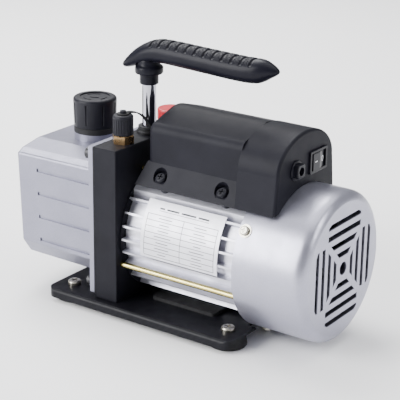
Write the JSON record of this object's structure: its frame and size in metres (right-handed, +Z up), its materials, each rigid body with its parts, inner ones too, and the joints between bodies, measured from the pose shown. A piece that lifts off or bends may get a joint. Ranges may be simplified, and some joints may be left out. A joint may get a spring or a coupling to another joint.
{
  "type": "rotary vane vacuum pump",
  "caption": "Portable oil-sealed rotary vane vacuum pump: finned motor, slotted fan cowl, oil reservoir, capped ports, carry handle and rubber-footed base plate.",
  "frame": {"origin": "on the floor under the rubber feet, at the middle of the overall bounding box in plan", "axes": "+X along the motor shaft from the oil reservoir to the fan cowl, +Y away from the nameplate side, +Z up"},
  "size_m": [0.2488, 0.115, 0.1914],
  "materials": {
    "silver_paint": "satin light grey paint on castings and sheet",
    "black_paint": "satin black paint on the pump body and base plate",
    "black_plastic": "fine-textured black moulding",
    "gloss_black_plastic": "smooth black moulding",
    "red_plastic": "red moulded cap",
    "black_rubber": "moulded rubber",
    "cast_aluminium": "bare die-cast finned housing",
    "plate_aluminium": "brushed sheet with printed rules",
    "chrome_steel": "polished chrome plate",
    "turned_brass": "turned brass",
    "zinc_screws": "bright zinc-plated screws",
    "yellow_zinc": "yellow passivated zinc plate",
    "black_oxide": "black oxide socket screws",
    "machined_steel": "ground and machined steel",
    "pump_iron": "machined grey iron",
    "clear_glass": "clear sight glass",
    "winding_copper": "enamelled copper wire",
    "vane_composite": "phenolic composite vanes"
  },
  "bodies": {
    "pump_frame": {"base_plate": "black_paint", "rubber_feet": "black_rubber", "foot_screws": "zinc_screws", "body_bolts": "zinc_screws", "pump_body": "black_paint", "shaft_seal": "black_rubber", "inlet_fitting": "turned_brass", "intake_screen": "machined_steel", "port_fitting": "turned_brass", "handle_post": "chrome_steel", "post_nut": "machined_steel", "handle_ferrule": "gloss_black_plastic", "handle_grip": "gloss_black_plastic", "oil_reservoir": "silver_paint", "reservoir_gasket": "black_rubber", "reservoir_screws": "black_oxide", "sight_glass": "clear_glass", "sight_glass_bezel": "chrome_steel", "bezel_screws": "zinc_screws", "pump_cylinder": "pump_iron", "pump_end_cover": "pump_iron", "pump_cover_screws": "black_oxide", "valve_stop": "machined_steel", "motor_housing": "cast_aluminium", "motor_cradle": "black_rubber", "cradle_screw": "zinc_screws", "front_bearing": "machined_steel", "rear_bearing": "machined_steel", "rear_end_shield": "cast_aluminium", "stator_core": "machined_steel", "stator_windings": "winding_copper", "fan_cowl": "silver_paint", "cowl_screws": "zinc_screws", "tie_rods": "yellow_zinc", "nameplate": "plate_aluminium", "capacitor_cover": "black_plastic", "cover_screws": "zinc_screws", "switch_housing": "black_plastic", "cable_gland": "black_plastic", "switch_body": "gloss_black_plastic", "run_capacitor": "machined_steel"},
    "rotor_shaft": {"motor_shaft": "machined_steel", "rotor_core": "machined_steel", "front_bearing_inner": "machined_steel", "rear_bearing_inner": "machined_steel", "cooling_fan": "black_plastic", "pump_rotor": "machined_steel", "vane_springs": "machined_steel"},
    "near_vane": {"vane_near": "vane_composite"},
    "far_vane": {"vane_far": "vane_composite"},
    "cap_lift": {"oil_cap_seal": "black_rubber"},
    "cap": {"oil_fill_cap": "black_plastic"},
    "intake_lift": {"inlet_cap_tether": "black_rubber"},
    "intake_cap": {"inlet_cap": "black_plastic"},
    "second_cap": {"port_cap": "red_plastic"},
    "drain_lift": {"drain_seal": "black_rubber"},
    "drain": {"drain_plug": "turned_brass"},
    "rocker": {"switch_rocker": "gloss_black_plastic"},
    "reed": {"reed_valve": "machined_steel"}
  },
  "joints": [
    {"name": "shaft_spin", "type": "hinge", "parent": "pump_frame", "child": "rotor_shaft", "pos_m": [0, 0, 0.0573], "axis": [1, 0, 0], "continuous": true},
    {"name": "near_vane_slide", "type": "slide", "parent": "rotor_shaft", "child": "near_vane", "axis": [0, -1, 0], "range_m": [0, 0.0027]},
    {"name": "far_vane_slide", "type": "slide", "parent": "rotor_shaft", "child": "far_vane", "axis": [0, 1, 0], "range_m": [0, 0.0027]},
    {"name": "oil_cap_rise", "type": "slide", "parent": "pump_frame", "child": "cap_lift", "axis": [0, 0, 1], "range_m": [0, 0.009]},
    {"name": "oil_cap_turn", "type": "hinge", "parent": "cap_lift", "child": "cap", "pos_m": [-0.0855, 0, 0.13], "axis": [0, 0, 1], "range_deg": [0, 1080]},
    {"name": "intake_cap_rise", "type": "slide", "parent": "pump_frame", "child": "intake_lift", "axis": [0, 0, 1], "range_m": [0, 0.00508]},
    {"name": "intake_cap_turn", "type": "hinge", "parent": "intake_lift", "child": "intake_cap", "pos_m": [-0.0364, -0.03, 0.135], "axis": [0, 0, 1], "range_deg": [0, 1440]},
    {"name": "second_cap_pull", "type": "slide", "parent": "pump_frame", "child": "second_cap", "axis": [0, 0, 1], "range_m": [0, 0.01]},
    {"name": "drain_plug_out", "type": "slide", "parent": "pump_frame", "child": "drain_lift", "axis": [-1, 0, 0], "range_m": [0, 0.006]},
    {"name": "drain_plug_turn", "type": "hinge", "parent": "drain_lift", "child": "drain", "pos_m": [-0.1219, 0, 0.0375], "axis": [-1, 0, 0], "range_deg": [0, 1440]},
    {"name": "switch_rock", "type": "hinge", "parent": "pump_frame", "child": "rocker", "pos_m": [0.0903, 0.0138, 0.1236], "axis": [0, 0, 1], "range_deg": [-12, 0]},
    {"name": "reed_lift", "type": "hinge", "parent": "pump_frame", "child": "reed", "pos_m": [-0.0615, 0.02795, 0.0932], "axis": [-1, 0, 0], "range_deg": [0, 6], "stiffness_Nm_per_rad": 0.002}
  ],
  "couplings": [
    {"joint": "oil_cap_turn", "follows": "oil_cap_rise", "rad_per_m": 2094.4},
    {"joint": "intake_cap_turn", "follows": "intake_cap_rise", "rad_per_m": 4947.4},
    {"joint": "drain_plug_turn", "follows": "drain_plug_out", "rad_per_m": 4188.8}
  ]
}
